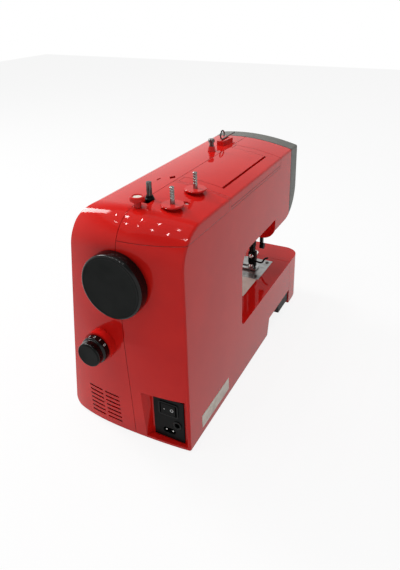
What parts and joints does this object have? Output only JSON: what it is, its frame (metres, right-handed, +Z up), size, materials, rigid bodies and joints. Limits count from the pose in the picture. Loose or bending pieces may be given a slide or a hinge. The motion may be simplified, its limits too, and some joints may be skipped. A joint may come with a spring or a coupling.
{
  "type": "sewing machine",
  "caption": "Compact household sewing machine with a glossy moulded case, free arm, slip-on accessory table, fold-down handle, hand wheel and thread fittings on top",
  "frame": {"origin": "on the table under the middle of the machine", "axes": "+X towards the hand wheel, +Y to the back, +Z up"},
  "size_m": [0.4312, 0.172, 0.3071],
  "materials": {
    "red_shell": "glossy moulded red",
    "grey_cover": "satin grey",
    "black_plastic": "satin black",
    "black_gloss": "gloss black",
    "plain_plastic": "off-white",
    "steel": "brushed",
    "chrome": "bright plated",
    "alloy": "as cast",
    "brass": "sintered",
    "rubber": "matt"
  },
  "bodies": {
    "machine": {"rear_shell": "red_shell", "front_shell": "red_shell", "free_arm": "red_shell", "recess_tray": "red_shell", "face_cover": "grey_cover", "base_plate": "black_plastic", "rubber_feet": "rubber", "handle_pins": "steel", "frame_casting": "alloy", "shaft_bushes": "brass", "drive_belt": "rubber", "timing_belt": "rubber", "motor": "steel", "needle_plate": "steel", "plate_screws": "chrome", "shuttle_race": "steel", "bobbin_case": "black_plastic", "power_panel": "black_plastic", "inlet_pins": "chrome", "spool_discs": "red_shell", "winder_stopper": "red_shell", "thread_post": "chrome", "wire_guide": "chrome", "work_lamp": "plain_plastic"},
    "handle": {"carry_handle": "red_shell"},
    "table": {"accessory_box": "red_shell", "box_foot": "rubber"},
    "lid": {"box_lid": "red_shell"},
    "drive": {"hand_wheel": "black_gloss", "main_shaft": "steel", "belt_pulley": "black_plastic", "upper_timing_pulley": "black_plastic", "crank_disc": "steel"},
    "motor_drive": {"motor_pulley": "black_plastic"},
    "lower_drive": {"lower_shaft": "steel", "lower_timing_pulley": "black_plastic", "shuttle_hook": "steel"},
    "needle_unit": {"needle_bar": "steel", "needle_bracket": "steel", "needle_clamp": "chrome", "needle": "chrome"},
    "presser_unit": {"presser_bar": "steel", "presser_bracket": "steel", "foot_holder": "black_plastic", "foot_screw": "chrome"},
    "release": {"release_lever": "black_plastic"},
    "foot": {"presser_foot": "steel"},
    "lifter": {"lifter_lever": "black_plastic"},
    "take_up": {"take_up_lever": "steel"},
    "feed": {"feed_dog": "steel"},
    "length_control": {"length_dial": "black_gloss"},
    "tension_control": {"tension_dial": "black_plastic"},
    "pattern_control": {"pattern_dial": "black_gloss"},
    "reverse": {"reverse_lever": "black_plastic"},
    "rocker": {"rocker_switch": "black_plastic"},
    "spool_right": {"spool_pin_right": "chrome"},
    "spool_left": {"spool_pin_left": "chrome"},
    "winder": {"winder_arm": "steel"},
    "spindle": {"winder_spindle": "chrome"},
    "spool_bobbin": {"bobbin": "plain_plastic"}
  },
  "joints": [
    {"name": "wheel_turn", "type": "hinge", "parent": "machine", "child": "drive", "pos_m": [0.19, 0.014, 0.2143], "axis": [1, 0, 0], "continuous": true},
    {"name": "lower_turn", "type": "hinge", "parent": "machine", "child": "lower_drive", "pos_m": [0, 0.027, 0.056], "axis": [1, 0, 0], "continuous": true},
    {"name": "motor_turn", "type": "hinge", "parent": "machine", "child": "motor_drive", "pos_m": [0.15, -0.028, 0.062], "axis": [1, 0, 0], "continuous": true},
    {"name": "handle_fold", "type": "hinge", "parent": "machine", "child": "handle", "pos_m": [-0.019, 0.023, 0.28107], "axis": [1, 0, 0], "range_deg": [0, 90]},
    {"name": "table_slide", "type": "slide", "parent": "machine", "child": "table", "axis": [-1, 0, 0], "range_m": [0, 0.2]},
    {"name": "lid_hinge", "type": "hinge", "parent": "table", "child": "lid", "pos_m": [-0.07, -0.00935, 0.07965], "axis": [-1, 0, 0], "range_deg": [0, 90]},
    {"name": "needle_stroke", "type": "slide", "parent": "machine", "child": "needle_unit", "axis": [0, 0, 1], "range_m": [-0.028, 0]},
    {"name": "presser_lift", "type": "slide", "parent": "machine", "child": "presser_unit", "axis": [0, 0, 1], "range_m": [0, 0.0061]},
    {"name": "lifter_swing", "type": "hinge", "parent": "machine", "child": "lifter", "pos_m": [-0.124, 0.052, 0.197], "axis": [0, -1, 0], "range_deg": [0, 48]},
    {"name": "release_press", "type": "hinge", "parent": "presser_unit", "child": "release", "pos_m": [-0.122, 0.0455, 0.0945], "axis": [1, 0, 0], "range_deg": [0, 12], "stiffness_Nm_per_rad": 0.05},
    {"name": "foot_tilt", "type": "hinge", "parent": "presser_unit", "child": "foot", "pos_m": [-0.122, 0.038, 0.0885], "axis": [1, 0, 0], "range_deg": [-6, 2], "stiffness_Nm_per_rad": 0.02},
    {"name": "take_up_swing", "type": "hinge", "parent": "machine", "child": "take_up", "pos_m": [-0.11, -0.002, 0.243], "axis": [1, 0, 0], "range_deg": [0, 40]},
    {"name": "feed_move", "type": "slide", "parent": "machine", "child": "feed", "axis": [0, 1, 0], "range_m": [-0.0025, 0.0025]},
    {"name": "length_turn", "type": "hinge", "parent": "machine", "child": "length_control", "pos_m": [0.2, -0.016, 0.129], "axis": [1, 0, 0], "range_deg": [-135, 135]},
    {"name": "tension_turn", "type": "hinge", "parent": "machine", "child": "tension_control", "pos_m": [-0.06, -0.05084, 0.244], "axis": [0, -0.9895, 0.1444], "range_deg": [-150, 150]},
    {"name": "pattern_turn", "type": "hinge", "parent": "machine", "child": "pattern_control", "pos_m": [0.105, -0.06237, 0.165], "axis": [0, -0.9895, 0.1444], "continuous": true},
    {"name": "reverse_press", "type": "hinge", "parent": "machine", "child": "reverse", "pos_m": [0.105, -0.06804, 0.085], "axis": [1, 0, 0], "range_deg": [0, 12], "stiffness_Nm_per_rad": 0.3},
    {"name": "rocker_tilt", "type": "hinge", "parent": "machine", "child": "rocker", "pos_m": [0.171, 0.057, 0.051], "axis": [0, 0, 1], "range_deg": [-6, 6]},
    {"name": "spool_right_push", "type": "slide", "parent": "machine", "child": "spool_right", "axis": [0, 0, 1], "range_m": [-0.0165, 0]},
    {"name": "spool_left_push", "type": "slide", "parent": "machine", "child": "spool_left", "axis": [0, 0, 1], "range_m": [-0.0165, 0]},
    {"name": "winder_swing", "type": "hinge", "parent": "machine", "child": "winder", "pos_m": [0.129, -0.0065, 0.264], "axis": [0, 0, -1], "range_deg": [0, 13]},
    {"name": "spindle_spin", "type": "hinge", "parent": "winder", "child": "spindle", "pos_m": [0.129, 0.0195, 0.27], "axis": [0, 0, 1], "continuous": true},
    {"name": "bobbin_spin", "type": "hinge", "parent": "machine", "child": "spool_bobbin", "pos_m": [-0.152, 0.027, 0.056], "axis": [1, 0, 0], "continuous": true}
  ],
  "couplings": [
    {"joint": "lower_turn", "follows": "wheel_turn", "ratio": 1},
    {"joint": "motor_turn", "follows": "wheel_turn", "ratio": 5.3333},
    {"joint": "presser_lift", "follows": "lifter_swing", "m_per_rad": 0.00716}
  ]
}
